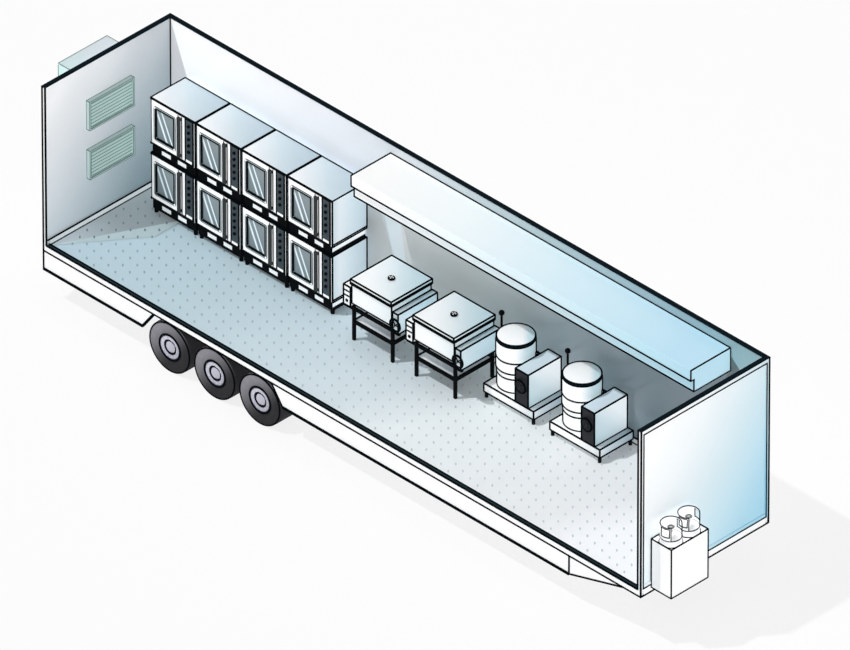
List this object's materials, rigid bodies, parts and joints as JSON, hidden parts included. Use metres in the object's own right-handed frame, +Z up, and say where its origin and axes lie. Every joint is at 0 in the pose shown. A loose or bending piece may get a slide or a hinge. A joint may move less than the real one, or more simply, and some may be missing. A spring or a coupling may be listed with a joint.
{
  "type": "field kitchen semi-trailer",
  "caption": "Semi-trailer with a kitchen inside, shown open at the roof and near side, with stacked ovens, tilting pans, boiling kettles and an exhaust hood.",
  "frame": {"origin": "on the ground, at the middle of the length from the air conditioner to the gas locker, and midway across the body", "axes": "+X forward to the kingpin, +Y to the far side wall that carries the hood, +Z up"},
  "size_m": [13.082, 2.6, 3.756],
  "materials": {
    "white_paint": "smooth gloss paint",
    "floor": "pale blue non-slip sheet with small studs",
    "chassis_paint": "dark grey chassis paint",
    "skirt_paint": "white gloss paint",
    "axle": "painted casting",
    "air_spring": "ribbed rubber",
    "tyre": "dark grey tread rubber",
    "rim": "lilac-grey wheel paint",
    "hvac": "pale grey-green powder coat",
    "grille": "mint-green paint",
    "steel": "bright satin stainless sheet",
    "filter": "stainless baffles",
    "black_trim": "black satin",
    "black_frame": "black powder coat",
    "control": "dark control panel",
    "gas": "white cylinder paint",
    "lamp": "red lens"
  },
  "bodies": {
    "root": {"floor_rails": "white_paint", "cross_members": "chassis_paint", "floor_deck": "floor", "floor_skirting": "white_paint", "wall_rear": "white_paint", "wall_front": "white_paint", "wall_far": "white_paint", "chassis_beams": "chassis_paint", "side_skirts": "skirt_paint", "axles": "axle", "trailing_arms": "chassis_paint", "air_springs": "air_spring", "air_tank": "chassis_paint", "coupler": "chassis_paint", "landing_gear": "chassis_paint", "rear_guard": "chassis_paint", "tail_lamps": "lamp", "hvac_case": "hvac", "wall_grilles": "grille", "hood_canopy": "steel", "hood_filters": "filter", "gas_locker": "white_paint", "gas_cylinders": "gas", "oven_plinths": "black_trim", "oven_cases": "steel", "pan_frames": "black_frame", "pan_consoles": "steel", "kettle_bases": "steel", "kettle_cabinets": "steel", "kettle_pot_1": "steel", "kettle_pot_2": "steel"},
    "wheel_rear_near": {"tyre_rear_near": "tyre", "rim_rear_near": "rim"},
    "wheel_rear_far": {"tyre_rear_far": "tyre", "rim_rear_far": "rim"},
    "wheel_middle_near": {"tyre_middle_near": "tyre", "rim_middle_near": "rim"},
    "wheel_middle_far": {"tyre_middle_far": "tyre", "rim_middle_far": "rim"},
    "wheel_front_near": {"tyre_front_near": "tyre", "rim_front_near": "rim"},
    "wheel_front_far": {"tyre_front_far": "tyre", "rim_front_far": "rim"},
    "oven_door_lower_1": {"oven_door_lower_1": "steel"},
    "oven_door_lower_2": {"oven_door_lower_2": "steel"},
    "oven_door_lower_3": {"oven_door_lower_3": "steel"},
    "oven_door_lower_4": {"oven_door_lower_4": "steel"},
    "oven_door_upper_1": {"oven_door_upper_1": "steel"},
    "oven_door_upper_2": {"oven_door_upper_2": "steel"},
    "oven_door_upper_3": {"oven_door_upper_3": "steel"},
    "oven_door_upper_4": {"oven_door_upper_4": "steel"},
    "pan_tub_1": {"pan_tub_1": "steel"},
    "pan_lid_1": {"pan_lid_1": "steel"},
    "pan_tub_2": {"pan_tub_2": "steel"},
    "pan_lid_2": {"pan_lid_2": "steel"},
    "kettle_lid_1": {"kettle_lid_1": "steel"},
    "kettle_lid_2": {"kettle_lid_2": "steel"}
  },
  "joints": [
    {"name": "wheel_rear_near_turn", "type": "hinge", "parent": "root", "child": "wheel_rear_near", "pos_m": [-3.461, -1.095, 0.42], "axis": [0, 1, 0], "continuous": true},
    {"name": "wheel_rear_far_turn", "type": "hinge", "parent": "root", "child": "wheel_rear_far", "pos_m": [-3.461, 1.095, 0.42], "axis": [0, 1, 0], "continuous": true},
    {"name": "wheel_middle_near_turn", "type": "hinge", "parent": "root", "child": "wheel_middle_near", "pos_m": [-2.534, -1.095, 0.42], "axis": [0, 1, 0], "continuous": true},
    {"name": "wheel_middle_far_turn", "type": "hinge", "parent": "root", "child": "wheel_middle_far", "pos_m": [-2.534, 1.095, 0.42], "axis": [0, 1, 0], "continuous": true},
    {"name": "wheel_front_near_turn", "type": "hinge", "parent": "root", "child": "wheel_front_near", "pos_m": [-1.607, -1.095, 0.42], "axis": [0, 1, 0], "continuous": true},
    {"name": "wheel_front_far_turn", "type": "hinge", "parent": "root", "child": "wheel_front_far", "pos_m": [-1.607, 1.095, 0.42], "axis": [0, 1, 0], "continuous": true},
    {"name": "oven_door_lower_1_swing", "type": "hinge", "parent": "root", "child": "oven_door_lower_1", "pos_m": [-5.521, 0.402, 1.5275], "axis": [0, 0, -1], "range_deg": [0, 110]},
    {"name": "oven_door_lower_2_swing", "type": "hinge", "parent": "root", "child": "oven_door_lower_2", "pos_m": [-4.582, 0.402, 1.5275], "axis": [0, 0, -1], "range_deg": [0, 110]},
    {"name": "oven_door_lower_3_swing", "type": "hinge", "parent": "root", "child": "oven_door_lower_3", "pos_m": [-3.643, 0.402, 1.5275], "axis": [0, 0, -1], "range_deg": [0, 110]},
    {"name": "oven_door_lower_4_swing", "type": "hinge", "parent": "root", "child": "oven_door_lower_4", "pos_m": [-2.704, 0.402, 1.5275], "axis": [0, 0, -1], "range_deg": [0, 110]},
    {"name": "oven_door_upper_1_swing", "type": "hinge", "parent": "root", "child": "oven_door_upper_1", "pos_m": [-5.521, 0.402, 2.5025], "axis": [0, 0, -1], "range_deg": [0, 110]},
    {"name": "oven_door_upper_2_swing", "type": "hinge", "parent": "root", "child": "oven_door_upper_2", "pos_m": [-4.582, 0.402, 2.5025], "axis": [0, 0, -1], "range_deg": [0, 110]},
    {"name": "oven_door_upper_3_swing", "type": "hinge", "parent": "root", "child": "oven_door_upper_3", "pos_m": [-3.643, 0.402, 2.5025], "axis": [0, 0, -1], "range_deg": [0, 110]},
    {"name": "oven_door_upper_4_swing", "type": "hinge", "parent": "root", "child": "oven_door_upper_4", "pos_m": [-2.704, 0.402, 2.5025], "axis": [0, 0, -1], "range_deg": [0, 110]},
    {"name": "pan_1_tilt", "type": "hinge", "parent": "root", "child": "pan_tub_1", "pos_m": [-0.776, 0.23, 1.83], "axis": [1, 0, 0], "range_deg": [0, 75]},
    {"name": "pan_1_lid_lift", "type": "hinge", "parent": "pan_tub_1", "child": "pan_lid_1", "pos_m": [-0.776, 1.004, 1.955], "axis": [-1, 0, 0], "range_deg": [0, 85]},
    {"name": "pan_2_tilt", "type": "hinge", "parent": "root", "child": "pan_tub_2", "pos_m": [0.501, 0.23, 1.83], "axis": [1, 0, 0], "range_deg": [0, 75]},
    {"name": "pan_2_lid_lift", "type": "hinge", "parent": "pan_tub_2", "child": "pan_lid_2", "pos_m": [0.501, 1.004, 1.955], "axis": [-1, 0, 0], "range_deg": [0, 85]},
    {"name": "kettle_lid_1_lift", "type": "hinge", "parent": "root", "child": "kettle_lid_1", "pos_m": [1.487, 1.149, 2.02], "axis": [-1, 0, 0], "range_deg": [0, 75]},
    {"name": "kettle_lid_2_lift", "type": "hinge", "parent": "root", "child": "kettle_lid_2", "pos_m": [2.829, 1.149, 2.02], "axis": [-1, 0, 0], "range_deg": [0, 75]}
  ]
}
